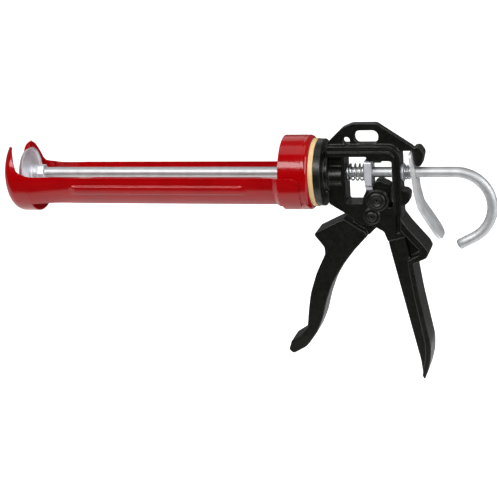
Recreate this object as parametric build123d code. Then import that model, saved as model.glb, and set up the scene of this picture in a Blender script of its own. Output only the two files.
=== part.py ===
"""Caulking gun for a 310 ml cartridge: rotating cradle, ratchet-free plunger, cast handle.

Frame: +X runs from the nozzle end to the handle along the rod axis and +Z is up. The
gun is symmetric about Y = 0 apart from the ears of the front cap. The origin is the
cartridge seat, where the rod axis meets the inner face of the front plate. All sizes
are in millimetres.
"""
import os
from math import cos, radians, sin, tan

from build123d import *

os.makedirs("parts", exist_ok=True)

# ---- driving dimensions -------------------------------------------------------
CARTRIDGE_LENGTH = 216.0        # standard 310 ml / 10 oz cartridge
CARTRIDGE_DIAMETER = 50.0
ROD_R = 4.0                     # 8 mm plunger rod
RUNNING_GAP = 0.05              # radial clearance of rod and pivot bushes

# cradle
SHEET = 1.1
RAIL_R = CARTRIDGE_DIAMETER / 2 + 0.3 + SHEET       # outer radius of the two side rails
RAIL_TOP = 4.0                  # degrees above the rod axis
RAIL_END = 55.0                 # degrees below the rod axis
CAP_R = 30.7
CAP_FRONT = -2.9
CAP_REAR = 16.5
CAP_SHEET = 1.6
NOSE_R = 8.0                    # rounding between the front plate and the cap's wall
PANEL_END = 47.0                # the sides taper from the cap's rim to the rails' radius here
PANEL_LOW = -20.7               # level of the lower edge of the tapering sides
NOZZLE_SLOT_R = 12.8
COLLAR_R = 28.7
COLLAR_SHEET = 1.4
COLLAR_X = (CARTRIDGE_LENGTH + 6.3, CARTRIDGE_LENGTH + 28.9)

# barrel joint, from the collar back plate to the handle flange
SPIGOT_R = 11.0
RING_X = (245.0, 248.7)
RING_R = 26.2
FLANGE_X = (248.7, 254.2)
FLANGE_R = 25.7

# handle casting
BODY_HALF = 9.0
WEB_HALF = 3.0
SLOT_HALF = 6.5                 # slot for the trigger arm
BLADE_HALF = 7.5
PALM_HALF = 12.5
LUG_HALF = 6.0
WINDOW_X = (270.0, 305.7)
WINDOW_Z = (-22.4, 13.7)
POST_REAR = 312.2
HANG_HOLE = (271.2, 25.2)
HANG_HOLE_R = 2.65

# trigger
PIVOT = (294.0, -19.5)
PIVOT_R = 3.0
STOP_PIN = (289.3, -32.2)
STOP_PIN_R = 2.5
TRIGGER_TRAVEL = 24.0           # degrees
TRIGGER_HALF = 11.0
ARM_HALF = 6.0
CAM = (295.4, -10.2)
CAM_R = 5.0

# drive plates and release lever
PLATE_T = 2.6
PLATE_REAR = 289.9
PLATE_HALF = 8.0
TONGUE_HALF = 5.8
LEVER_T = 2.0
LEVER_TOP_HALF = 11.7
LEVER_HALF = 12.7

# plunger
ROD_NOSE = 4.0
DISC_R = 20.3
HOOK_START = 352.1
HOOK_R = 26.9
HOOK_TURN = 152.0
HOOK_TAIL = 13.0


# ---- helpers ------------------------------------------------------------------
def largest_radius(before, corner, after):
    """Largest corner radius that leaves each neighbouring corner its own share."""
    arrive, leave = Vector(*corner) - Vector(*before), Vector(*after) - Vector(*corner)
    half_turn = radians(max(arrive.get_angle(leave), 1.0)) / 2
    return 0.45 * min(arrive.length, leave.length) / tan(half_turn)


def outline(points):
    """Closed XZ face from (x, z, corner radius) points, each radius cut to what fits."""
    corners = [(x, z) for x, z, _ in points]
    face = make_face(Polyline(*corners, close=True))
    for i, (x, z, radius) in enumerate(points):
        if radius:
            room = largest_radius(corners[i - 1], corners[i], corners[(i + 1) % len(corners)])
            corner = face.vertices().sort_by_distance((x, z, 0))[0]
            face = fillet(corner, min(radius, room))
    return face


def slab(face, half):
    """Extrude an XZ face to both sides of Y = 0."""
    return extrude(Plane.XZ * face, half, both=True)


def plate(points, half):
    return slab(outline(points), half)


def block(x, y, z):
    """Box from three (low, high) pairs."""
    size = (x[1] - x[0], y[1] - y[0], z[1] - z[0])
    centre = ((x[0] + x[1]) / 2, (y[0] + y[1]) / 2, (z[0] + z[1]) / 2)
    return Pos(*centre) * Box(*size)


def disc_x(x, radius, at=(0, 0)):
    """Cylinder along X between x[0] and x[1]."""
    centre = ((x[0] + x[1]) / 2, at[0], at[1])
    return Pos(*centre) * Rot(0, 90, 0) * Cylinder(radius, x[1] - x[0])


def disc_y(at, radius, half):
    """Cylinder along Y through the XZ point, centred on Y = 0."""
    return Pos(at[0], 0, at[1]) * Rot(90, 0, 0) * Cylinder(radius, 2 * half)


def turned(points):
    """Revolve an (x, radius) outline about the rod axis."""
    face = make_face(Polyline(*points, close=True))
    return revolve(Plane.XZ * face, Axis.X)


def wedge(x, top, bottom, radius=60.0):
    """Sector about X on the -Y side, between two angles from the rod axis level."""
    corners = [(0, 0)]
    for step in range(5):
        angle = radians(top - (top + bottom) * step / 4)
        corners.append((-radius * cos(angle), radius * sin(angle)))
    face = make_face(Polyline(*corners, close=True))
    return Pos(x[0], 0, 0) * extrude(Plane.YZ * face, x[1] - x[0])


def both_sides(shape):
    return shape + mirror(shape, Plane.XZ)


# ---- cradle -------------------------------------------------------------------
EAR_NEAR = [
    (-4, 25), (-1.3, 25), (1.8, 22.5), (4.1, 17.4), (7.0, 12.9), (8.4, 8.6), (10.2, 7.0), (16.1, 4.7),
]
EAR_FAR = [
    (-4, 21.8), (1.0, 21.8), (2.9, 21.2), (3.5, 18.4), (4.6, 12.1), (6.4, 5.6), (8.6, 3.0), (13.0, 1.9),
]


def cup():
    """Shell of the cap: front plate, rounded nose and wall."""
    outer = disc_x((CAP_FRONT, CAP_REAR), CAP_R)
    outer = fillet(corner_ring(outer, CAP_FRONT), NOSE_R)
    inner = disc_x((0, CAP_REAR + 1), CAP_R - CAP_SHEET)
    inner = fillet(corner_ring(inner, 0), NOSE_R - CAP_SHEET)
    return outer - inner


def corner_ring(shape, x):
    """The widest circular edge in the plane at x."""
    rings = [e for e in shape.edges().filter_by(GeomType.CIRCLE) if abs(e.center().X - x) < 0.01]
    return max(rings, key=lambda ring: ring.radius)


def front_cap():
    """Drawn cup with the nozzle slot and two uneven ears."""
    shell = cup()
    rail_level = RAIL_R * sin(radians(RAIL_TOP))
    for ear, y in ((EAR_NEAR, (-40, 0)), (EAR_FAR, (0, 40))):
        above = [(x, z, 1) for x, z in ear]
        above += [(CAP_REAR + 1, rail_level, 0), (CAP_REAR + 1, 40, 0), (-4, 40, 0)]
        shell -= plate(above, 40) & block((-10, 40), y, (-5, 50))
    slot = disc_x((-5, 8), NOZZLE_SLOT_R) + block((-5, 8), (-NOZZLE_SLOT_R, NOZZLE_SLOT_R), (0, 40))
    flare = Pos(-5, 0, 0) * extrude(Plane.YZ * make_face(Polyline(
        (0, 13), (NOZZLE_SLOT_R, 13), (25, 31), (0, 31), close=True)), 15)
    return shell - slot - flare


def rail():
    """Near side rail: tapering front, pressed bead and a joggled rear tab."""
    step_start, step_end, tab_end = 217.6, COLLAR_X[0] - 0.1, 238.0
    tab_r = COLLAR_R + SHEET
    shell = turned([
        (CAP_REAR, CAP_R - SHEET), (CAP_REAR, CAP_R), (PANEL_END, RAIL_R), (step_start, RAIL_R),
        (step_end - 0.6, tab_r), (tab_end, tab_r), (tab_end, COLLAR_R),
        (step_end, COLLAR_R), (step_start + 0.6, RAIL_R - SHEET), (PANEL_END, RAIL_R - SHEET),
    ])
    wall = shell & wedge((0, 260), RAIL_TOP, RAIL_END)
    wall -= block((0, PANEL_END), (-40, 40), (-40, PANEL_LOW))
    bead = turned([(52, RAIL_R), (54, RAIL_R + 0.9), (190, RAIL_R + 0.9), (192, RAIL_R)])
    dent = turned([
        (53.5, RAIL_R - SHEET), (55, RAIL_R - 0.2), (189, RAIL_R - 0.2), (190.5, RAIL_R - SHEET),
    ])
    wall += bead & wedge((0, 260), -7, 24)
    return wall - (dent & wedge((0, 260), -9, 22))


def rear_collar():
    """Drawn collar that closes the cradle and turns on the handle spigot."""
    front, rear = COLLAR_X
    shell = disc_x((front, rear), COLLAR_R)
    rim = shell.edges().filter_by(GeomType.CIRCLE).sort_by(Axis.X)[-1]
    shell = fillet(rim, 3.2)
    shell -= disc_x((front - 1, rear - 1.9), COLLAR_R - COLLAR_SHEET)
    groove = turned([(239.2, 30), (239.2, COLLAR_R), (240, COLLAR_R - 0.5), (240.8, COLLAR_R), (240.8, 30)])
    return shell - groove - disc_x((230, 250), SPIGOT_R + 0.1)


# ---- handle casting -----------------------------------------------------------
def web():
    """Thin top plate with the hanging slot and the lanyard hole."""
    plate_outline = plate([
        (256.8, 18, 0), (256.8, 24.2, 1), (268.6, 35.4, 8), (275.9, 38.3, 5),
        (294.6, 38.3, 5), (300.0, 34.6, 8), (321.0, 20.4, 0), (323, 16.8, 0), (311, 16.8, 0),
    ], WEB_HALF)
    hanging = plate([(277.3, 23, 4.6), (277.3, 32.8, 4.6), (295.5, 32.8, 4.6), (295.5, 23, 4.6)], 10)
    return plate_outline - hanging - disc_y(HANG_HOLE, HANG_HOLE_R, 10)


def body_block():
    """Thick part round the window, with the fork for the trigger."""
    block_shape = plate([
        (256.8, 21.8, 1.5), (POST_REAR, 21.8, 10), (POST_REAR, -38, 0), (316, -48, 0),
        (300.6, -52, 0), (298.0, -44.6, 4), (291, -40.7, 4), (281, -39.0, 8),
        (268.7, -30.2, 6), (256.8, -22.8, 1.5),
    ], BODY_HALF)
    window = plate([
        (WINDOW_X[0], WINDOW_Z[0], 1.5), (WINDOW_X[0], WINDOW_Z[1], 1.5),
        (286.7, WINDOW_Z[1], 0), (286.7, 10.4, 0), (WINDOW_X[1], 10.4, 1.5),
        (WINDOW_X[1], -25.6, 2.5), (297, -25.6, 0), (297, WINDOW_Z[0], 0),
    ], 20)
    block_shape -= window
    for side in (-1, 1):
        near, far = sorted((side * WEB_HALF, side * 20))
        block_shape -= block((255, 267.6), (near, far), (-7.5, WINDOW_Z[1]))
    return block_shape


def rim_groove():
    """Groove between the two beads that run along the top and down the rear post."""
    path = FilletPolyline((250, 18.4), (309.0, 18.4), (309.0, -45.5), radius=6.5)
    band = extrude(Plane.XZ * trace(path, 2.6), 1.4)
    return both_sides(Pos(0, -(BODY_HALF - 1.2), 0) * band)


def grip():
    """T section grip: a blade, a palm strip along its back and the thumb web."""
    blade = plate([
        (300.3, -44, 0), (301.2, -55, 40), (308, -85.2, 200), (322.6, -149.8, 40),
        (323.6, -160, 10), (325.4, -163.6, 1.2), (328.0, -157, 0), (329.5, -145, 20),
        (329.6, -134, 30), (326.5, -117, 60), (322.0, -95, 0), (317.8, -70, 0), (312.2, -40, 0),
    ], BLADE_HALF)
    palm = plate([
        (315.4, -66.4, 0), (320.0, -68.9, 2), (323.9, -95, 200), (328.1, -117, 100), (331.4, -134, 30),
        (331.1, -146, 30), (328.5, -156.5, 30), (325.6, -163.8, 1.2), (323.9, -160, 2),
        (326.6, -146, 20), (326.9, -135, 30), (323.8, -117, 100), (319.6, -95, 200),
    ], PALM_HALF)
    hump = plate([
        (POST_REAR - 1, -32, 0), (POST_REAR, -34, 3), (316.2, -39.8, 12), (329.8, -55.8, 6),
        (332.2, -60.4, 4), (330.2, -64.2, 3), (320.0, -68.9, 2), (315.4, -66.4, 0),
        (324.6, -61.4, 3), (325.2, -58.2, 3), (313.5, -45.2, 4), (POST_REAR - 1, -42.4, 0),
    ], PALM_HALF)
    infill = plate([
        (POST_REAR - 1, -40, 0), (314, -43.5, 0), (327, -59, 0), (325.5, -63.5, 0), (315.4, -68, 0),
    ], WEB_HALF)
    return blade + infill, palm, hump


def lugs():
    """Upper lug behind the release lever and the lower stop lug in front of it."""
    upper = plate([
        (322.8, 5.6, 3), (321.6, 19.9, 2), (326.4, 21.0, 4.6), (330.0, 15.4, 5), (327.6, 5.6, 3.5),
    ], LUG_HALF)
    lower = plate([
        (311, -12.3, 0), (315.8, -12.9, 3), (318.5, -15.6, 4), (317.6, -22.0, 4),
        (313.4, -25.0, 3), (311, -25.0, 0),
    ], LUG_HALF)
    return upper + lower


def cheek():
    """Raised wall of the fork round the trigger pivot."""
    return plate([
        (282.6, -27, 0), (283.1, -17.4, 2), (285.9, -11.9, 1.5), (300.5, -11.9, 5),
        (303.3, -19.5, 5), (301.0, -28, 0),
    ], BODY_HALF)


def handle_frame():
    blade, palm, hump = grip()
    frame = body_block() + web()
    frame += cheek() + disc_y(PIVOT, 8.2, BODY_HALF + 2) + disc_y(STOP_PIN, 6.0, BODY_HALF + 1)
    frame += blade + palm + hump + lugs()
    frame += block((291.0, 297.0), (-4, 4), (8.0, 12.5))
    frame += Pos(0, 0, -3.0) * disc_x((254, WINDOW_X[0]), 8.8) + disc_x((254, 257), 15)
    frame += disc_x(FLANGE_X, FLANGE_R) + disc_x((238, FLANGE_X[0] + 1), SPIGOT_R)
    fork = plate([
        (282.3, -8, 0), (306.6, -8, 0), (306.6, -30, 0), (304, -44, 0),
        (299.5, -53, 0), (270, -53, 0), (273.5, -36, 0), (282.3, -22, 0),
    ], SLOT_HALF)
    frame -= fork + rim_groove()
    frame -= disc_x((230, 275), ROD_R + 0.5) + disc_x((230, 250), 6.0) + disc_x((304, 314), 6.0)
    frame -= disc_y(PIVOT, PIVOT_R, 20) + disc_y(STOP_PIN, STOP_PIN_R, 20)
    return frame


# ---- fixed hardware on the handle ---------------------------------------------
def front_bush():
    return disc_x((238, 250), 6.0) - disc_x((230, 260), ROD_R + RUNNING_GAP)


def rear_bush():
    bush = disc_x((304.9, POST_REAR + 0.8), 6.0)
    return bush - disc_x((300, 320), ROD_R + RUNNING_GAP)


def bearing_ring():
    return disc_x(RING_X, RING_R) - disc_x((240, 250), SPIGOT_R)


def retaining_washer():
    return disc_x((240.9, 242.9), 18.0) - disc_x((230, 250), SPIGOT_R)


def retaining_ring():
    ring = disc_x((239.1, 240.9), 13.5) - disc_x((230, 250), SPIGOT_R)
    return ring - block((238, 242), (-2.5, 2.5), (8, 15))


def rivet(at, radius, head_r, half):
    """Riveted pin across the fork with a domed head on each side."""
    pin = disc_y(at, radius, half + 1)
    for side in (-1, 1):
        head = Pos(at[0], side * (half + 1), at[1]) * Rot(90, 0, 0) * Cylinder(head_r, 2)
        rim = head.edges().filter_by(GeomType.CIRCLE).sort_by(Axis.Y)[-1 if side > 0 else 0]
        pin += fillet(rim, 1.2)
    return pin


def pivot_pin():
    return rivet(PIVOT, PIVOT_R, 6.6, BODY_HALF + 2)


def stop_pin():
    return rivet(STOP_PIN, STOP_PIN_R, 4.3, BODY_HALF + 1)


def spring_washer():
    return disc_x((313.0, 314.0), 7.0) - disc_x((310, 320), 4.35)


# ---- trigger ------------------------------------------------------------------
def trigger():
    """Cast trigger: a narrow arm inside the fork and a wide finger lever below."""
    arm = plate([
        (290.5, -10.4, 0), (290.4, -15.4, 0.5), (287.6, -16.4, 1), (283.4, -21.8, 1), (275.0, -35.4, 0),
        (272, -42, 0), (276, -48, 0), (286.4, -47.6, 0), (290.3, -43.6, 2), (297.5, -37.5, 6),
        (303.0, -27.5, 5), (303.9, -9.4, 1.5), (300.6, -7.2, 3), (297.0, -6.2, 0),
    ], ARM_HALF)
    arm += disc_y(CAM, CAM_R, ARM_HALF)
    lever = plate([
        (267.6, -33.9, 1), (280.6, -42.4, 1), (283.6, -43.9, 1.5), (285.4, -47.6, 1.2),
        (275, -58.8, 30), (265, -71.8, 40), (256.2, -86.5, 50), (250.8, -101, 60),
        (247, -115.5, 50), (241.8, -127.5, 25), (233.0, -139.6, 18), (221.6, -146, 2.6),
        (217.8, -143, 2.4), (220.4, -135.2, 4), (228.8, -129.8, 4), (233.9, -124.5, 7),
        (235.9, -109, 50), (238.2, -95, 60), (244, -78, 40), (251.6, -62.6, 6),
        (251.4, -57.2, 5), (243.8, -47.2, 2), (245.6, -44.6, 2),
    ], TRIGGER_HALF)
    rims = lever.faces().filter_by(Axis.Y).edges()
    lever = fillet(rims, 0.8)
    return arm + lever - stop_slot() - disc_y(PIVOT, 4.5, 20)


def stop_slot():
    """Curved slot in the trigger arm that runs over the stop pin."""
    dx, dz = STOP_PIN[0] - PIVOT[0], STOP_PIN[1] - PIVOT[1]
    stations = []
    for share in (0, 0.5, 1):
        turn = -radians((TRIGGER_TRAVEL + 1.5) * share)
        stations.append((PIVOT[0] + dx * cos(turn) - dz * sin(turn),
                         PIVOT[1] + dx * sin(turn) + dz * cos(turn)))
    radius = STOP_PIN_R + 0.35
    slot = slab(trace(ThreePointArc(*stations), 2 * radius), 20)
    return slot + disc_y(stations[0], radius, 20) + disc_y(stations[2], radius, 20)


def trigger_bush():
    return disc_y(PIVOT, 4.5, ARM_HALF) - disc_y(PIVOT, PIVOT_R + RUNNING_GAP, 20)


# ---- ratchet-free drive -------------------------------------------------------
def drive_plate(rear):
    """Grip plate: wide round the rod, with a tongue that hangs between the fork cheeks."""
    half = [(PLATE_HALF, 10.0), (PLATE_HALF, -8.4), (TONGUE_HALF, -10.2), (TONGUE_HALF, -14.6)]
    corners = half + [(-y, z) for y, z in reversed(half)]
    face = make_face(Polyline(*corners, close=True))
    face = fillet([v for v in face.vertices() if v.Y > 9 or v.Y < -14], 2.0)
    body = Pos(rear - PLATE_T, 0, 0) * extrude(Plane.YZ * face, PLATE_T)
    return body - disc_x((rear - 10, rear + 10), ROD_R + 0.3)


def coil(x, radius, wire, turns):
    """Open coil spring along X."""
    length = x[1] - x[0] - wire
    path = Helix(length / turns, length, radius)
    section = Plane(origin=path @ 0, z_dir=path % 0) * Circle(wire / 2)
    spring = sweep(section, path)
    return Pos(x[0] + wire / 2, 0, 0) * Rot(0, 90, 0) * spring


def main_spring():
    return coil((WINDOW_X[0] + 0.1, PLATE_REAR - 2 * PLATE_T - 0.1), 6.2, 1.2, 3.5)


# ---- release ------------------------------------------------------------------
def release_lever():
    """Flat strip hung under the upper lug, bent back at its lower end as a thumb tab."""
    path = FilletPolyline((319.9, 16.3), (323.0, -13.5), (325.5, -25.0), (341.3, -50.4), radius=12)
    outline = make_face(Polyline(
        (-LEVER_TOP_HALF, 20), (LEVER_TOP_HALF, 20), (LEVER_TOP_HALF, -22), (LEVER_HALF, -33),
        (LEVER_HALF, -55), (-LEVER_HALF, -55), (-LEVER_HALF, -33), (-LEVER_TOP_HALF, -22), close=True))
    strip = slab(trace(path, LEVER_T), LEVER_HALF) & extrude(Plane.YZ * outline, 400)
    ends = strip.edges().filter_by(lambda e: abs(e.length - LEVER_T) < 0.3 and abs(e.center().Y) > 8)
    strip = fillet(ends.sort_by(Axis.Z)[:2], 8.5)
    upper = strip.edges().filter_by(
        lambda e: abs(e.length - LEVER_T) < 0.3 and abs(e.center().Y) > 8 and e.center().Z > 0)
    strip = fillet(upper, 3.0)
    slot = Pos(321.3, 0, 0) * Box(20, 2 * (ROD_R + 0.4), 2 * (ROD_R + 1.2))
    slot = fillet(slot.edges().filter_by(Axis.X), ROD_R + 0.35)
    return strip - slot


def release_spring():
    return coil((314.1, 319.4), 5.4, 1.0, 2.5)


# ---- plunger ------------------------------------------------------------------
def plunger_rod():
    """8 mm rod bent into a hook at the back."""
    turn = radians(HOOK_TURN)
    centre = (HOOK_START, -HOOK_R)
    bend = (centre[0] + HOOK_R * sin(turn), centre[1] + HOOK_R * cos(turn))
    middle = (centre[0] + HOOK_R * sin(turn / 2), centre[1] + HOOK_R * cos(turn / 2))
    tail = (bend[0] + HOOK_TAIL * cos(-turn), bend[1] + HOOK_TAIL * sin(-turn))
    path = Plane.XZ * (
        Line((ROD_NOSE, 0), (HOOK_START, 0))
        + ThreePointArc((HOOK_START, 0), middle, bend)
        + Line(bend, tail)
    )
    rod = sweep(Plane(origin=(ROD_NOSE, 0, 0), z_dir=(1, 0, 0)) * Circle(ROD_R), path)
    ends = rod.edges().filter_by(GeomType.CIRCLE)
    return chamfer([e for e in ends if e.radius < ROD_R + 0.01 and is_end(e, tail)], 0.8)


def is_end(edge, tail):
    at = edge.center()
    near_nose = abs(at.X - ROD_NOSE) < 0.01
    near_tail = abs(at.X - tail[0]) < 0.01 and abs(at.Z - tail[1]) < 0.01
    return near_nose or near_tail


def piston_disc():
    """Dished pressing that pushes the cartridge piston."""
    return turned([
        (8.0, ROD_R), (8.0, 7.0), (6.4, 15.0), (6.6, 18.8), (9.8, DISC_R), (9.8, DISC_R - 1.4),
        (8.1, 18.0), (8.0, 15.0), (9.6, 7.2), (9.6, ROD_R),
    ])


def piston_washer():
    return disc_x((6.0, 8.0), 6.5) - disc_x((0, 20), ROD_R)


def piston_hub():
    return turned([(9.6, ROD_R), (9.6, 7.0), (11.2, 7.0), (12.0, 6.0), (16.0, 6.0), (16.0, ROD_R)])


def piston_nut():
    hexagon = extrude(Plane.YZ * RegularPolygon(6.6, 6), 5.5)
    return Pos(16.0, 0, 0) * hexagon - disc_x((10, 30), ROD_R)


# ---- export -------------------------------------------------------------------
NODES = {
    "front_cap": front_cap,
    "rail_near": rail,
    "rail_far": lambda: mirror(rail(), Plane.XZ),
    "rear_collar": rear_collar,
    "handle_frame": handle_frame,
    "front_bush": front_bush,
    "rear_bush": rear_bush,
    "bearing_ring": bearing_ring,
    "retaining_washer": retaining_washer,
    "retaining_ring": retaining_ring,
    "pivot_pin": pivot_pin,
    "stop_pin": stop_pin,
    "spring_washer": spring_washer,
    "trigger": trigger,
    "trigger_bush": trigger_bush,
    "drive_plate_front": lambda: drive_plate(PLATE_REAR - PLATE_T),
    "drive_plate_rear": lambda: drive_plate(PLATE_REAR),
    "main_spring": main_spring,
    "release_lever": release_lever,
    "release_spring": release_spring,
    "plunger_rod": plunger_rod,
    "piston_disc": piston_disc,
    "piston_washer": piston_washer,
    "piston_hub": piston_hub,
    "piston_nut": piston_nut,
}

for name, make in NODES.items():
    solid = make()
    solid.label = name
    export_step(solid, f"parts/{name}.step")
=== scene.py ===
"""Looks of the caulking gun: finer meshes, materials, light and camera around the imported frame."""
import math

import bmesh
import bpy
from mathutils import Matrix, Vector


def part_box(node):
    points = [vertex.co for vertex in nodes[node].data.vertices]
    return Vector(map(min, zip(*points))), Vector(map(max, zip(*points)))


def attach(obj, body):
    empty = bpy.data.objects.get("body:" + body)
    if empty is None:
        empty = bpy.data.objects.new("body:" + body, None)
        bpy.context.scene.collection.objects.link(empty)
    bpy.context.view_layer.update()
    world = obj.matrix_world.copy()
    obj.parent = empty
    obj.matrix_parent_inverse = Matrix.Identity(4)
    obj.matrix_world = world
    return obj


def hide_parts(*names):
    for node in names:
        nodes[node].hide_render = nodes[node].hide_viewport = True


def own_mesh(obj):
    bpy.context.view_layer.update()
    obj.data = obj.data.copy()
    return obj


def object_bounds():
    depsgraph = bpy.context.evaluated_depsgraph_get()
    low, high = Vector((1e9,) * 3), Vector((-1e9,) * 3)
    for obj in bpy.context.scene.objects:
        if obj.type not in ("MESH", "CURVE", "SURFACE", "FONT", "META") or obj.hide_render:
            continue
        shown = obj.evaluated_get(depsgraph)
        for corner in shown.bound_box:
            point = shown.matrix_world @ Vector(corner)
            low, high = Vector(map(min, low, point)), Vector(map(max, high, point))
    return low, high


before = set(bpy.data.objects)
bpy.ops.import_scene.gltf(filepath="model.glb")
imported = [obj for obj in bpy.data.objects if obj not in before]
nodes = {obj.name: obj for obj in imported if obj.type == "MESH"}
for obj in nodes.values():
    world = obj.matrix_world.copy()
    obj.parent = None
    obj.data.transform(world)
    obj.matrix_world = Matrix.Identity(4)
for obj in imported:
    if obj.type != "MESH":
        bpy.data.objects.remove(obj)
cad_low, cad_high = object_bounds()
scene = bpy.context.scene
MM = 0.001


# ---- material graphs ----------------------------------------------------------
class Look:
    """A Principled material and short ways to add procedural detail to it."""

    def __init__(self, name, colour, roughness, metallic=0.0):
        self.material = bpy.data.materials.new(name)
        self.material.use_nodes = True
        self.tree = self.material.node_tree
        self.shader = self.tree.nodes["Principled BSDF"]
        self.shader.inputs["Base Color"].default_value = (*colour, 1)
        self.shader.inputs["Roughness"].default_value = roughness
        self.shader.inputs["Metallic"].default_value = metallic
        self.material.diffuse_color = (*colour, 1)
        self.place = self.node("ShaderNodeTexCoord").outputs["Object"]

    def node(self, kind, **settings):
        made = self.tree.nodes.new(kind)
        for key, value in settings.items():
            setattr(made, key, value)
        return made

    def link(self, source, target):
        self.tree.links.new(source, target)

    def set(self, socket, value):
        self.shader.inputs[socket].default_value = value

    def stretched(self, scale):
        """Object coordinates scaled differently on each axis."""
        mapping = self.node("ShaderNodeMapping")
        mapping.inputs["Scale"].default_value = scale
        self.link(self.place, mapping.inputs["Vector"])
        return mapping.outputs["Vector"]

    def noise(self, grain, detail=4.0, roughness=0.55, where=None):
        """Noise whose features are about grain metres across."""
        made = self.node("ShaderNodeTexNoise")
        made.inputs["Scale"].default_value = 1.0 / grain
        made.inputs["Detail"].default_value = detail
        made.inputs["Roughness"].default_value = roughness
        self.link(where or self.place, made.inputs["Vector"])
        return made.outputs["Fac"]

    def cells(self, grain):
        """Distance to the nearest of scattered points, about grain metres apart."""
        made = self.node("ShaderNodeTexVoronoi")
        made.inputs["Scale"].default_value = 1.0 / grain
        self.link(self.place, made.inputs["Vector"])
        return made.outputs["Distance"]

    def ramp(self, value, stops):
        """Colour ramp from (position, colour) stops."""
        made = self.node("ShaderNodeValToRGB")
        elements = made.color_ramp.elements
        while len(elements) < len(stops):
            elements.new(0.5)
        for element, (position, colour) in zip(elements, stops):
            element.position = position
            element.color = (*colour, 1)
        self.link(value, made.inputs["Fac"])
        return made.outputs["Color"]

    def span(self, value, low, high, to_low, to_high):
        """Value mapped from one range to another and kept within it."""
        made = self.node("ShaderNodeMapRange")
        for key, number in zip(("From Min", "From Max", "To Min", "To Max"),
                               (low, high, to_low, to_high)):
            made.inputs[key].default_value = number
        self.link(value, made.inputs["Value"])
        return made.outputs["Result"]

    def mix(self, factor, first, second):
        """Colours mixed by a factor."""
        made = self.node("ShaderNodeMix", data_type="RGBA")
        self.link(factor, made.inputs[0])
        for socket, colour in ((made.inputs[6], first), (made.inputs[7], second)):
            if isinstance(colour, tuple):
                socket.default_value = (*colour, 1)
            else:
                self.link(colour, socket)
        return made.outputs[2]

    def edges(self, low, high):
        """1 on convex edges and 0 elsewhere."""
        point = self.node("ShaderNodeNewGeometry").outputs["Pointiness"]
        return self.span(point, low, high, 0.0, 1.0)

    def colour(self, source):
        self.link(source, self.shader.inputs["Base Color"])

    def rough(self, value, low, high, to_low, to_high):
        self.link(self.span(value, low, high, to_low, to_high), self.shader.inputs["Roughness"])

    def bump(self, *layers):
        """Stacked bumps from (height, depth in metres, strength)."""
        normal = None
        for height, depth, strength in layers:
            made = self.node("ShaderNodeBump")
            made.inputs["Distance"].default_value = depth
            made.inputs["Strength"].default_value = strength
            self.link(height, made.inputs["Height"])
            if normal is not None:
                self.link(normal, made.inputs["Normal"])
            normal = made.outputs["Normal"]
        self.link(normal, self.shader.inputs["Normal"])


def red_enamel():
    look = Look("red_enamel", (0.38, 0.0005, 0.002), 0.15)
    cloud = look.noise(0.022, 3)
    look.colour(look.ramp(cloud, [(0.3, (0.35, 0.0003, 0.0013)), (0.7, (0.41, 0.0007, 0.0028))]))
    look.rough(look.noise(0.009, 5), 0.3, 0.7, 0.11, 0.18)
    look.bump((look.noise(0.0016, 2), 0.000012, 0.5), (look.noise(0.012, 2), 0.00006, 0.35))
    look.set("Specular IOR Level", 0.42)
    return look.material


def black_cast():
    look = Look("black_cast", (0.006, 0.0065, 0.005), 0.4)
    cloud = look.noise(0.014, 5, 0.6)
    base = look.ramp(cloud, [(0.3, (0.0015, 0.0018, 0.0011)), (0.7, (0.006, 0.0068, 0.0048))])
    speckle = look.span(look.noise(0.0007, 2), 0.62, 0.74, 0.0, 0.5)
    base = look.mix(speckle, base, (0.020, 0.022, 0.018))
    look.colour(look.mix(look.edges(0.52, 0.60), base, (0.022, 0.024, 0.020)))
    look.rough(look.noise(0.003, 4), 0.3, 0.7, 0.26, 0.40)
    look.bump((look.noise(0.0009, 3), 0.0001, 0.8), (look.noise(0.007, 3), 0.0003, 0.45))
    look.set("Specular IOR Level", 0.45)
    return look.material


def metal(name, colour, roughness, lines, depth=0.000015, spread=0.05):
    """Zinc or steel with fine lines.

    lines holds the texture's scale along each axis, depth is the lines' depth in metres, and
    spread is how far the roughness varies either way.
    """
    look = Look(name, colour, roughness, 1.0)
    drawn = look.noise(1.0, 3, 0.6, look.stretched(lines))
    cloud = look.noise(0.006, 4)
    darker = tuple(c * 0.86 for c in colour)
    look.colour(look.mix(look.span(cloud, 0.35, 0.7, 0.0, 1.0), colour, darker))
    look.rough(drawn, 0.25, 0.75, roughness - spread, roughness + spread)
    look.bump((drawn, depth, 0.5), (look.noise(0.0011, 2), 0.000012, 0.3))
    return look.material


def nylon():
    look = Look("nylon", (0.78, 0.56, 0.28), 0.42)
    cloud = look.noise(0.008, 3)
    look.colour(look.ramp(cloud, [(0.3, (0.74, 0.52, 0.24)), (0.7, (0.82, 0.60, 0.31))]))
    look.rough(look.noise(0.004, 3), 0.3, 0.7, 0.36, 0.5)
    look.bump((look.noise(0.0012, 2), 0.00002, 0.4))
    look.set("Subsurface Weight", 0.15)
    look.set("Subsurface Radius", (0.003, 0.0022, 0.0012))
    look.set("Subsurface Scale", 0.6)
    return look.material


def bronze():
    look = Look("bronze", (0.56, 0.36, 0.17), 0.38, 1.0)
    pores = look.span(look.cells(0.0006), 0.0, 0.35, 0.0, 1.0)
    look.colour(look.mix(pores, (0.16, 0.09, 0.04), (0.60, 0.39, 0.19)))
    look.bump((pores, 0.00003, 0.4))
    look.rough(look.noise(0.002, 3), 0.3, 0.7, 0.3, 0.46)
    return look.material


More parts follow.
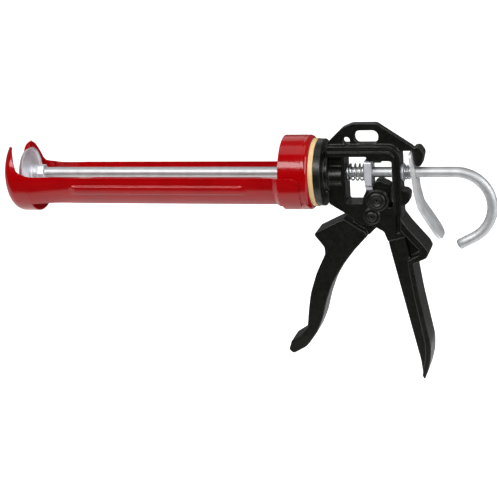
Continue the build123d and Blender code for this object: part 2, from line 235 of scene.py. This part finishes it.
def rivet_black():
    look = Look("rivet_black", (0.012, 0.013, 0.011), 0.3)
    look.set("Metallic", 0.35)
    worn = look.edges(0.52, 0.6)
    look.colour(look.mix(worn, (0.010, 0.011, 0.009), (0.040, 0.042, 0.038)))
    look.rough(look.noise(0.002, 4), 0.3, 0.7, 0.28, 0.44)
    look.bump((look.noise(0.0008, 3), 0.00003, 0.5))
    return look.material


LINES_X = (12, 900, 900)        # drawn along X
LINES_AROUND = (900, 160, 160)  # turned about X
LINES_DOWN = (160, 700, 160)    # rolled across Y
LOOKS = {
    "red_enamel": red_enamel(),
    "black_cast": black_cast(),
    "zinc": metal("zinc", (0.86, 0.87, 0.92), 0.62, LINES_AROUND, 0.00001, 0.06),
    "rod_zinc": metal("rod_zinc", (0.63, 0.64, 0.65), 0.58, LINES_X, 0.000008),
    "lever_zinc": metal("lever_zinc", (0.84, 0.85, 0.86), 0.66, LINES_DOWN, 0.00003, 0.08),
    "spring_steel": metal("spring_steel", (0.62, 0.63, 0.64), 0.36, LINES_AROUND),
    "nylon": nylon(),
    "bronze": bronze(),
    "rivet_black": rivet_black(),
}


# ---- mesh helpers -------------------------------------------------------------
SAME_POINT = 0.002              # millimetres within which two points are one
SHARP = 50                      # degrees of turn above which an edge is rounded


def applied(piece):
    """Bakes the piece's modifiers into its own mesh."""
    graph = bpy.context.evaluated_depsgraph_get()
    mesh = bpy.data.meshes.new_from_object(piece.evaluated_get(graph))
    piece.modifiers.clear()
    piece.data = mesh
    return piece


def settle(piece, body, slot, *replaced):
    """Gives a finished piece its look, its body and the CAD nodes that it stands for."""
    piece.data.materials.clear()
    piece.data.materials.append(LOOKS[slot])
    for polygon in piece.data.polygons:
        polygon.use_smooth = True
        polygon.material_index = 0
    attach(piece, body)
    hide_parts(*replaced)
    return piece


def new_piece(name, points, faces):
    """Mesh object from points in millimetres."""
    mesh = bpy.data.meshes.new(name)
    mesh.from_pydata([Vector(p) * MM for p in points], [], faces)
    shape = bmesh.new()
    shape.from_mesh(mesh)
    bmesh.ops.remove_doubles(shape, verts=shape.verts, dist=SAME_POINT * MM)
    bmesh.ops.recalc_face_normals(shape, faces=shape.faces)
    shape.to_mesh(mesh)
    shape.free()
    piece = bpy.data.objects.new(name, mesh)
    scene.collection.objects.link(piece)
    return piece


def rounded(piece, width, flush=None):
    """Rounds sharp edges, apart from those in the plane x = flush, which meet a neighbour."""
    shape = bmesh.new()
    shape.from_mesh(piece.data)
    weight = shape.edges.layers.float.new("bevel_weight_edge")
    for edge in shape.edges:
        if len(edge.link_faces) == 2 and edge.calc_face_angle() > math.radians(SHARP):
            middle = (edge.verts[0].co.x + edge.verts[1].co.x) / 2 / MM
            if flush is not None and abs(middle - flush) < 0.01:
                edge.smooth = False
            else:
                edge[weight] = 1.0
    shape.to_mesh(piece.data)
    shape.free()
    for polygon in piece.data.polygons:
        polygon.use_smooth = True
    bevel = piece.modifiers.new("round", "BEVEL")
    bevel.width = width * MM
    bevel.segments = 3
    bevel.limit_method = "WEIGHT"
    bevel.use_clamp_overlap = True
    piece.modifiers.new("shade", "WEIGHTED_NORMAL").keep_sharp = True
    return applied(piece)


def sheet_metal(name, outer, inner):
    """Closed sheet between two grids of points that match row by row."""
    rows, columns = len(outer), len(outer[0])
    points = [p for grid in (outer, inner) for row in grid for p in row]
    layer = rows * columns

    def at(side, i, j):
        return side * layer + i * columns + j

    faces = []
    for side in (0, 1):
        for i in range(rows - 1):
            for j in range(columns - 1):
                faces.append((at(side, i, j), at(side, i + 1, j),
                              at(side, i + 1, j + 1), at(side, i, j + 1)))
    for i in range(rows - 1):
        for j in (0, columns - 1):
            faces.append((at(0, i, j), at(0, i + 1, j), at(1, i + 1, j), at(1, i, j)))
    for j in range(columns - 1):
        for i in (0, rows - 1):
            faces.append((at(0, i, j), at(0, i, j + 1), at(1, i, j + 1), at(1, i, j)))
    return new_piece(name, points, faces)


def lathe(name, profile, steps, axis="X", centre=(0, 0, 0)):
    """Closed solid turned from (along, radius) points about an axis through centre."""
    points, faces = [], []
    count = len(profile)
    for k in range(steps):
        turn = 2 * math.pi * k / steps
        for along, radius in profile:
            a, b = radius * math.cos(turn), radius * math.sin(turn)
            place = (along, a, b) if axis == "X" else (a, along, b)
            points.append([c + p for c, p in zip(centre, place)])
    for k in range(steps):
        for i in range(count):
            j, n = (i + 1) % count, (k + 1) % steps
            faces.append((k * count + i, k * count + j, n * count + j, n * count + i))
    return new_piece(name, points, faces)


# ---- cradle -------------------------------------------------------------------
CAP_R, RAIL_R, COLLAR_R = 30.7, 26.4, 28.7
CAP_FRONT, CAP_REAR = -2.9, 16.5
PLATE_WALL, CAP_WALL, RAIL_WALL = 2.9, 1.6, 1.1
CAP_THIN = 10.0                     # from this X the cap's wall thins to the rails'
LEAST_STRIP = 0.6                   # least length of the cap's outline, at the tip of an ear
SLOT_R = 12.8
NOSE_R = 8.0                        # rounding between the front plate and the wall
PLATE_R = CAP_R - NOSE_R
NOSE_ARC = NOSE_R * math.pi / 2
RIM_STEP, RIM_STEP_RUN = 0.35, 1.4  # the small step behind the cap's rim, and its length
PANEL_END = 47.0                    # the rails taper from the cap to here
TAPER_POWER = 1.5                   # above 1, so the taper is steepest at the cap
PANEL_LOW = -20.7                   # level of their lower edge in the taper
LOW_EASE, LOW_EASE_RUN = 30.0, 25.0     # where that level starts to change, and over what length
RAIL_TOP, RAIL_LOW = 4.0, -55.0     # their edges, in degrees from the level of the rod axis
FIXED_TOP, FIXED_LOW = -7.0, -29.0  # between these angles, the edges' shape moves no point
BEAD_X, BEAD_FADE = (50.0, 197.0), 7.0  # the bead's ends, and the length over which it rises
BEAD_ANGLES = (-8.4, -27.5)         # its upper and lower edge, in degrees
BEAD_FLANKS = (3.4, 4.5)            # and the degrees over which each of them rises
BEAD_HEIGHT = 1.2
JOGGLE_X, JOGGLE_RUN = 217.4, 4.8   # where the rails step out over the collar
TAB_START, TAB_END, TAB_CORNER = 224.0, 238.0, 4.0
NEAR, FAR = -1, 1
# (angle, X of the rear edge) up each ear, from the rim to the tip
EARS = {
    NEAR: [(8.0, 16.5), (9.0, 15.6), (11.0, 12.7), (13.5, 10.1), (16.5, 8.5), (25.5, 7.0),
           (35.0, 4.7), (42.0, 3.0), (50.5, 1.9), (57.0, 0.4), (62.0, -1.3)],
    FAR: [(2.9, 16.5), (3.4, 12.0), (5.2, 8.6), (9.5, 6.8), (23.5, 4.9), (36.0, 3.6),
          (42.0, 2.4), (45.5, 0.4)],
}
# (X, angle) along the top edge of each rail
RAIL_TOPS = {NEAR: [(16.5, 8.0), (20.5, 6.4), (25.0, 6.1), (42.0, 5.6), (60.0, 4.0)],
             FAR: [(16.5, 2.9), (24.0, 2.0), (36.0, 3.0), (47.0, 4.0)]}
# where the slot's straight side ends, and the ear's tip, as (y, z)
FLARES = {NEAR: ((SLOT_R, 14.0), (12.9, 24.6)), FAR: ((13.6, 12.0), (19.6, 19.6))}


def smooth(t):
    """0 to 1 with level ends."""
    t = min(max(t, 0.0), 1.0)
    return t * t * (3 - 2 * t)


def lerp(a, b, t):
    return a + (b - a) * t


def spaced(low, high, count):
    """Evenly spaced numbers with count steps between them, both ends included."""
    return [lerp(low, high, k / count) for k in range(count + 1)]


def graded(start, *stretches):
    """Numbers from start on, through stretches of (end, steps)."""
    numbers = [start]
    for end, steps in stretches:
        numbers += spaced(start, end, steps)[1:]
        start = end
    return numbers


def read_off(table, key):
    """Value on the line through (key, value) pairs."""
    for (ka, va), (kb, vb) in zip(table, table[1:]):
        if key <= kb:
            return lerp(va, vb, max(0.0, key - ka) / (kb - ka))
    return table[-1][1]


def slot_edge(angle, side):
    """Radius of the keyhole slot's edge along a ray."""
    a = math.radians(angle)
    (y, z), (tip_y, tip_z) = FLARES[side]
    if angle <= 0:
        return SLOT_R
    if y * math.tan(a) < z:
        return lerp(SLOT_R, y, y * math.tan(a) / z) / math.cos(a)
    dy, dz = tip_y - y, tip_z - z
    return (y * dz - z * dy) / (math.cos(a) * dz - math.sin(a) * dy)


def path_at_radius(radius):
    """Length along the cap's outline, from its axis, where it has this radius."""
    if radius <= PLATE_R:
        return radius
    return PLATE_R + NOSE_R * math.asin(min((radius - PLATE_R) / NOSE_R, 1.0))


def path_at_x(x):
    """The same length where the cap's wall reaches this X."""
    back = x - CAP_FRONT
    if back < NOSE_R:
        return PLATE_R + NOSE_R * math.acos(1 - back / NOSE_R)
    return PLATE_R + NOSE_ARC + back - NOSE_R


def cap_outline(path):
    """(x, radius) of the outer and inner face at a length along the outline."""
    if path <= PLATE_R:
        return (CAP_FRONT, path), (CAP_FRONT + PLATE_WALL, path)
    if path <= PLATE_R + NOSE_ARC:
        turn = (path - PLATE_R) / NOSE_R
        wall = lerp(PLATE_WALL, CAP_WALL, turn / (math.pi / 2))
        middle = CAP_FRONT + NOSE_R
        return [(middle - r * math.cos(turn), PLATE_R + r * math.sin(turn))
                for r in (NOSE_R, NOSE_R - wall)]
    x = CAP_FRONT + NOSE_R + path - PLATE_R - NOSE_ARC
    wall = lerp(CAP_WALL, RAIL_WALL, smooth((x - CAP_THIN) / (CAP_REAR - CAP_THIN)))
    return (x, CAP_R), (x, CAP_R - wall)


def around(radius, angle, side):
    """(y, z) on the near or far side."""
    a = math.radians(angle)
    return side * radius * math.cos(a), radius * math.sin(a)


def front_cap():
    """Drawn cap: keyhole slot, rounded nose and two uneven ears."""
    columns = []
    for side in (NEAR, FAR):
        tip = EARS[side][-1][0]
        angles = graded(-90, (2, 70), (18, 40), (tip, 30))
        columns += [(side, angle) for angle in (reversed(angles) if side == NEAR else angles[1:])]
    outer, inner = [], []
    for share in spaced(0, 1, 64):
        rows = [], []
        for side, angle in columns:
            start = path_at_radius(slot_edge(angle, side))
            end = max(path_at_x(read_off(EARS[side], angle)), start + LEAST_STRIP)
            for row, (x, radius) in zip(rows, cap_outline(lerp(start, end, share))):
                row.append((x, *around(radius, angle, side)))
        outer.append(rows[0])
        inner.append(rows[1])
    piece = sheet_metal("cap_pressing", outer, inner)
    return settle(rounded(piece, 0.35), "cradle", "red_enamel", "front_cap")


def rail_radius(x, angle):
    """Outer radius of a rail: taper, bead and the joggled tab over the collar."""
    share = min(max((x - CAP_REAR) / (PANEL_END - CAP_REAR), 0.0), 1.0)
    step = RIM_STEP * smooth((x - CAP_REAR) / RIM_STEP_RUN)
    taper = (CAP_R - RAIL_R - RIM_STEP) * (1 - (1 - share) ** TAPER_POWER) + step
    along = smooth((x - BEAD_X[0]) / BEAD_FADE) * smooth((BEAD_X[1] - x) / BEAD_FADE)
    across = (smooth((BEAD_ANGLES[0] - angle) / BEAD_FLANKS[0])
              * smooth((angle - BEAD_ANGLES[1]) / BEAD_FLANKS[1]))
    joggle = (COLLAR_R + RAIL_WALL - RAIL_R) * smooth((x - JOGGLE_X) / JOGGLE_RUN)
    return CAP_R - taper + BEAD_HEIGHT * along * across + joggle


def rail(name, side, node):
    """Side rail from the cap's rim to its round-cornered tab over the collar."""
    xs = graded(CAP_REAR, (18.1, 6), (48, 18), (60, 14), (187, 30), (199, 14), (216, 6),
                (TAB_START, 14), (TAB_END, 14))
    angles = graded(RAIL_TOP, (FIXED_TOP, 8), (-13, 10), (-21, 5), (FIXED_LOW, 10), (RAIL_LOW, 12))
    rear_level = RAIL_R * math.sin(math.radians(RAIL_LOW))
    outer, inner = [], []
    for x in xs:
        top = read_off(RAIL_TOPS[side], x)
        level = lerp(PANEL_LOW, rear_level, smooth((x - LOW_EASE) / LOW_EASE_RUN))
        low = math.degrees(math.asin(level / rail_radius(x, 0))) if x < TAB_START else RAIL_LOW
        out_row, in_row = [], []
        for angle in angles:
            from_edge = min(RAIL_TOP - angle, angle - RAIL_LOW) * math.radians(COLLAR_R)
            cut = max(0.0, TAB_CORNER - from_edge)
            trim = TAB_CORNER - math.sqrt(TAB_CORNER ** 2 - cut ** 2)
            place = x - trim * max(0.0, (x - TAB_START) / (TAB_END - TAB_START))
            if angle > FIXED_TOP:
                angle = lerp(FIXED_TOP, top, (angle - FIXED_TOP) / (RAIL_TOP - FIXED_TOP))
            elif angle < FIXED_LOW:
                angle = lerp(FIXED_LOW, low, (angle - FIXED_LOW) / (RAIL_LOW - FIXED_LOW))
            radius = rail_radius(place, angle)
            out_row.append((place, *around(radius, angle, side)))
            in_row.append((place, *around(radius - RAIL_WALL, angle, side)))
        outer.append(out_row)
        inner.append(in_row)
    piece = sheet_metal(name, outer, inner)
    return settle(rounded(piece, 0.3, flush=CAP_REAR), "cradle", "red_enamel", node)


def collar():
    """Drawn collar: a fine groove near its round rear corner, and a bored rear face."""
    front, rear, wall, rear_wall = 222.3, 244.9, 1.4, 1.9
    corner, inner_corner, bore = 3.2, 1.3, 11.1
    groove = [(238.9, 0.0), (239.5, 0.18), (240.1, 0.22), (240.7, 0.1)]     # (X, depth)
    bend = [(rear - corner * (1 - math.sin(t)), COLLAR_R - corner * (1 - math.cos(t)))
            for t in spaced(0, math.pi / 2, 10)]
    inside = [(rear - rear_wall - inner_corner * (1 - math.sin(t)),
               COLLAR_R - wall - inner_corner * (1 - math.cos(t)))
              for t in spaced(math.pi / 2, 0, 6)]
    outline = [(x, COLLAR_R) for x in (front, 228, 234)]
    outline += [(x, COLLAR_R - depth) for x, depth in groove]
    outline += bend + [(rear, bore), (rear - rear_wall, bore)] + inside
    outline += [(x, COLLAR_R - wall) for x in (238, 230, front)]
    piece = lathe("collar_pressing", outline, 160)
    return settle(rounded(piece, 0.35), "cradle", "red_enamel", "rear_collar")


# ---- castings -----------------------------------------------------------------
CAST_GRAIN = 0.45               # size of the remeshed faces, which sets how soft the edges are


def cast(name, node, body, keep):
    """Casting with soft edges: the CAD solid remeshed, relaxed and thinned to a share of it."""
    piece = bpy.data.objects.new(name, nodes[node].data.copy())
    scene.collection.objects.link(piece)
    remesh = piece.modifiers.new("skin", "REMESH")
    remesh.mode = "VOXEL"
    remesh.voxel_size = CAST_GRAIN * MM
    relax = piece.modifiers.new("relax", "SMOOTH")
    relax.factor = 0.5
    relax.iterations = 3
    thin = piece.modifiers.new("thin", "DECIMATE")
    thin.ratio = keep
    return settle(applied(piece), body, "black_cast", node)


# ---- drive parts --------------------------------------------------------------
def wire(name, route, radius, ends=None):
    """Round wire along points in millimetres; ends holds a share of the radius by point."""
    curve = bpy.data.curves.new(name, "CURVE")
    curve.dimensions = "3D"
    curve.bevel_depth = radius * MM
    curve.bevel_resolution = 10
    curve.use_fill_caps = True
    line = curve.splines.new("POLY")
    line.points.add(len(route) - 1)
    for point, place in zip(line.points, route):
        point.co = (*[c * MM for c in place], 1)
    for index, share in (ends or {}).items():
        line.points[index].radius = share
    source = bpy.data.objects.new(name, curve)
    scene.collection.objects.link(source)
    graph = bpy.context.evaluated_depsgraph_get()
    mesh = bpy.data.meshes.new_from_object(source.evaluated_get(graph))
    bpy.data.objects.remove(source)
    piece = bpy.data.objects.new(name, mesh)
    scene.collection.objects.link(piece)
    return piece


def coil_route(low, high, radius, gauge, turns, closed):
    """Helix along X whose first and last `closed` turns lie flat against each other."""
    route = []
    steps = 30                      # points in a turn
    pitch = gauge * 1.02            # of the closed turns
    inner, outer = low + gauge / 2, high - gauge / 2
    flat = closed * pitch
    for k in range(int(turns * steps) + 1):
        turn = k / steps
        if turn < closed:
            x = inner + turn * pitch
        elif turn > turns - closed:
            x = outer - (turns - turn) * pitch
        else:
            share = (turn - closed) / (turns - 2 * closed)
            x = lerp(inner + flat, outer - flat, share)
        angle = 2 * math.pi * turn
        route.append((x, radius * math.cos(angle), radius * math.sin(angle)))
    return route


def springs():
    """Both springs, each as long as its CAD node."""
    low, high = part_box("main_spring")
    route = coil_route(low.x / MM, high.x / MM, radius=6.2, gauge=1.2, turns=5.0, closed=0.9)
    main = wire("main_coil", route, 0.6)
    settle(main, "handle", "spring_steel", "main_spring")
    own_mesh(main)
    low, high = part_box("release_spring")
    route = coil_route(low.x / MM, high.x / MM, radius=5.3, gauge=0.9, turns=2.6, closed=0.5)
    back = wire("release_coil", route, 0.45)
    settle(back, "handle", "spring_steel", "release_spring")
    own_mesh(back)


ROD_R, ROD_NOSE, ROD_CHAMFER = 4.0, 4.0, 0.8    # ROD_NOSE is the X of the front end
HOOK_START, HOOK_R = 352.1, 26.9                # the hook's bend, on the rod's centre line
HOOK_TURN, HOOK_TAIL = 152.0, 13.0              # degrees of bend, and the straight end after it


def rod():
    """Plunger rod with its hook and a small chamfer at each end."""
    route = [(ROD_NOSE, 0, 0), (ROD_NOSE + ROD_CHAMFER, 0, 0)]
    route += [(x, 0, 0) for x in spaced(10, HOOK_START, 40)]
    turn = math.radians(HOOK_TURN)
    for t in spaced(0, turn, 60)[1:]:
        route.append((HOOK_START + HOOK_R * math.sin(t), 0, HOOK_R * (math.cos(t) - 1)))
    x, _, z = route[-1]
    for reach in (HOOK_TAIL / 2, HOOK_TAIL - ROD_CHAMFER, HOOK_TAIL):
        route.append((x + reach * math.cos(turn), 0, z - reach * math.sin(turn)))
    end_share = 1 - ROD_CHAMFER / ROD_R
    piece = wire("rod_bar", route, ROD_R, {0: end_share, len(route) - 1: end_share})
    return settle(piece, "plunger", "rod_zinc", "plunger_rod")


# (height, inset from the head's radius) over a rolled rivet head
HEAD_HEIGHT = 2.0
HEAD_CURVE = [(0.0, 0.2), (0.5, 0.0), (1.2, 0.35), (1.75, 1.3), (HEAD_HEIGHT, 2.2), (1.85, 2.9),
              (1.2, 3.4)]


def rivet(name, node, radius, head):
    """Tubular rivet: rolled heads with a shallow hollow on a plain shank."""
    low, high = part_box(node)
    centre = [(a + b) / 2 / MM for a, b in zip(low, high)]
    reach = (high.y - low.y) / 2 / MM
    face = reach - HEAD_HEIGHT
    dome = [(face + height, head - inset) for height, inset in HEAD_CURVE]
    # the hollow's floor, which dips towards a centre left open by a hair
    hollow = [(face + 0.9, head * 0.22), (face + 0.85, 0.02)]
    half = [(0.0, radius), (face, radius)] + dome + hollow
    outline = half + [(-along, r) for along, r in reversed(half[1:])]
    piece = lathe(name, outline, 64, "Y", centre)
    subdivide = piece.modifiers.new("soft", "SUBSURF")
    subdivide.levels = subdivide.render_levels = 1
    return settle(applied(piece), "handle", "rivet_black", node)


def dressed(node, slot, width):
    """A CAD node that keeps its shape: rounded edges and its look."""
    part = nodes[node]
    part.data.materials.clear()
    part.data.materials.append(LOOKS[slot])
    weld = part.modifiers.new("weld", "WELD")
    weld.merge_threshold = 0.001 * MM
    bevel = part.modifiers.new("round", "BEVEL")
    bevel.width = width * MM
    bevel.segments = 2
    bevel.limit_method = "ANGLE"
    bevel.angle_limit = math.radians(42)
    return part


# node: (look, width of its rounded edges)
DRESSED = {
    "bearing_ring": ("nylon", 0.4), "front_bush": ("bronze", 0.2), "rear_bush": ("zinc", 0.2),
    "retaining_washer": ("zinc", 0.2), "retaining_ring": ("spring_steel", 0.15),
    "spring_washer": ("zinc", 0.15), "trigger_bush": ("bronze", 0.2),
    "drive_plate_front": ("zinc", 0.2), "drive_plate_rear": ("zinc", 0.2),
    "release_lever": ("lever_zinc", 0.3), "piston_disc": ("zinc", 0.25),
    "piston_washer": ("zinc", 0.2), "piston_hub": ("zinc", 0.3), "piston_nut": ("zinc", 0.4),
}


def build():
    front_cap()
    rail("rail_pressing_near", NEAR, "rail_near")
    rail("rail_pressing_far", FAR, "rail_far")
    collar()
    cast("handle_casting", "handle_frame", "handle", keep=0.3)
    cast("trigger_casting", "trigger", "trigger_body", keep=0.35)
    springs()
    rod()
    rivet("pivot_rivet", "pivot_pin", radius=3.0, head=6.6)
    rivet("stop_rivet", "stop_pin", radius=2.5, head=4.3)
    for node, (slot, width) in DRESSED.items():
        dressed(node, slot, width)


# ---- stage, light and camera --------------------------------------------------
# lengths are in metres from here on
CENTRE = Vector((0.188, 0.0, -0.055))   # what the lights are aimed at
FLOOR_DROP = 0.15               # the gun hangs this far above the floor
FLOOR_HALF = 30.0               # half the floor's side
BAND_NEAR = (-0.32, -0.24)      # Y over which the floor's lit band fades in
BAND_FAR = (0.30, 0.60)         # and out
PAST_BAND = 0.12                # share of the light left beyond the far fade
BAND_GLOW = 0.55                # emission in the band's middle
PALE, LIT, UNLIT = 0.86, 0.7, 0.03      # floor greys: to the camera, and in and out of the band
# (share of the way from front to back, level) of the surroundings, as reflections see them
SKY_LEVELS = [(0.0, 0.012), (0.30, 0.02), (0.60, 0.12), (0.9, 0.15)]
CAMERA_TURNS = (16.783, 17.5, 4.281)    # azimuth, elevation and roll in degrees
CAMERA_TARGET = Vector((0.18738, 0, -0.06244))
CAMERA_DISTANCE, CAMERA_LENS = 1.1, 100.89


def grey(level):
    return level, level, level


def seen_by_camera(tree):
    """1 for rays straight from the camera and 0 for reflections and bounced light."""
    return tree.nodes.new("ShaderNodeLightPath").outputs["Is Camera Ray"]


def stage():
    """Pale floor: white to the camera, and to reflections lit only in a band under the gun."""
    half, height = FLOOR_HALF / MM, (cad_low.z - FLOOR_DROP) / MM
    corners = [(x, y, height) for x, y in ((-half, -half), (half, -half), (half, half), (-half, half))]
    floor = new_piece("floor", corners, [(0, 1, 2, 3)])
    look = Look("floor", grey(PALE), 0.9)
    look.set("Emission Color", (1, 1, 1, 1))
    split = look.node("ShaderNodeSeparateXYZ")
    look.link(look.place, split.inputs[0])
    band = look.node("ShaderNodeMath", operation="MULTIPLY")
    look.link(look.span(split.outputs["Y"], *BAND_NEAR, 0.0, 1.0), band.inputs[0])
    look.link(look.span(split.outputs["Y"], *BAND_FAR, 1.0, PAST_BAND), band.inputs[1])
    lit = look.span(band.outputs[0], 0.0, 1.0, 0.0, BAND_GLOW)
    level = look.node("ShaderNodeMix")
    look.link(seen_by_camera(look.tree), level.inputs[0])
    look.link(lit, level.inputs[2])
    level.inputs[3].default_value = 1.0
    look.link(level.outputs[0], look.shader.inputs["Emission Strength"])
    banded = look.mix(band.outputs[0], grey(UNLIT), grey(LIT))
    look.colour(look.mix(seen_by_camera(look.tree), banded, grey(PALE)))
    floor.data.materials.append(look.material)


def sky():
    """Studio surroundings: white to the camera, and to reflections dark in front, dim behind."""
    world = bpy.data.worlds.new("studio")
    scene.world = world
    world.use_nodes = True
    tree = world.node_tree
    place = tree.nodes.new("ShaderNodeTexCoord")
    split = tree.nodes.new("ShaderNodeSeparateXYZ")
    ramp = tree.nodes.new("ShaderNodeValToRGB")
    depth = tree.nodes.new("ShaderNodeMapRange")
    mix = tree.nodes.new("ShaderNodeMix")
    mix.data_type = "RGBA"
    mix.inputs[7].default_value = (1, 1, 1, 1)
    depth.inputs["From Min"].default_value = -1.0
    elements = ramp.color_ramp.elements
    while len(elements) < len(SKY_LEVELS):
        elements.new(0.5)
    for element, (position, level) in zip(elements, SKY_LEVELS):
        element.position = position
        element.color = (*grey(level), 1)
    tree.links.new(place.outputs["Generated"], split.inputs[0])
    tree.links.new(split.outputs["Y"], depth.inputs["Value"])
    tree.links.new(depth.outputs[0], ramp.inputs["Fac"])
    tree.links.new(seen_by_camera(tree), mix.inputs[0])
    tree.links.new(ramp.outputs["Color"], mix.inputs[6])
    tree.links.new(mix.outputs[2], tree.nodes["Background"].inputs["Color"])


def soft_box(name, azimuth, elevation, distance, size, power):
    """Rectangular soft light aimed at the gun. Azimuth 0 is the near side, 90 the handle end.

    Angles are in degrees, lengths in metres and the power in watts.
    """
    a, e = math.radians(azimuth), math.radians(elevation)
    towards = Vector((math.sin(a) * math.cos(e), -math.cos(a) * math.cos(e), math.sin(e)))
    lamp = bpy.data.lights.new(name, "AREA")
    lamp.shape = "RECTANGLE"
    lamp.size, lamp.size_y = size
    lamp.energy = power
    holder = bpy.data.objects.new(name, lamp)
    holder.location = CENTRE + towards * distance
    holder.rotation_mode = "QUATERNION"
    holder.rotation_quaternion = (-towards).to_track_quat("-Z", "Y")
    holder.visible_camera = False
    scene.collection.objects.link(holder)


def lights():
    soft_box("strip", -20, 37, 1.5, (1.9, 0.42), 22)
    soft_box("overhead", 0, 86, 1.8, (1.6, 1.0), 5)
    soft_box("back_left", -150, 40, 1.7, (1.2, 0.8), 2.5)
    soft_box("handle_end", 72, 22, 1.5, (0.8, 0.9), 13)


def camera():
    """Long lens on the near side, above the gun, turned a little to the handle end and rolled."""
    azimuth, elevation, roll = (math.radians(a) for a in CAMERA_TURNS)
    look = Vector((-math.sin(azimuth) * math.cos(elevation),
                   math.cos(azimuth) * math.cos(elevation), -math.sin(elevation)))
    level = Vector((math.cos(azimuth), math.sin(azimuth), 0))
    upright = level.cross(look)
    right = level * math.cos(roll) - upright * math.sin(roll)
    top = level * math.sin(roll) + upright * math.cos(roll)
    place = Matrix((right, top, -look)).transposed().to_4x4()
    place.translation = CAMERA_TARGET - look * CAMERA_DISTANCE
    data = bpy.data.cameras.new("camera")
    data.lens = CAMERA_LENS
    data.sensor_width = 36.0
    holder = bpy.data.objects.new("camera", data)
    holder.matrix_world = place
    scene.collection.objects.link(holder)
    scene.camera = holder


build()
stage()
sky()
lights()
camera()
scene.view_settings.view_transform = "Standard"
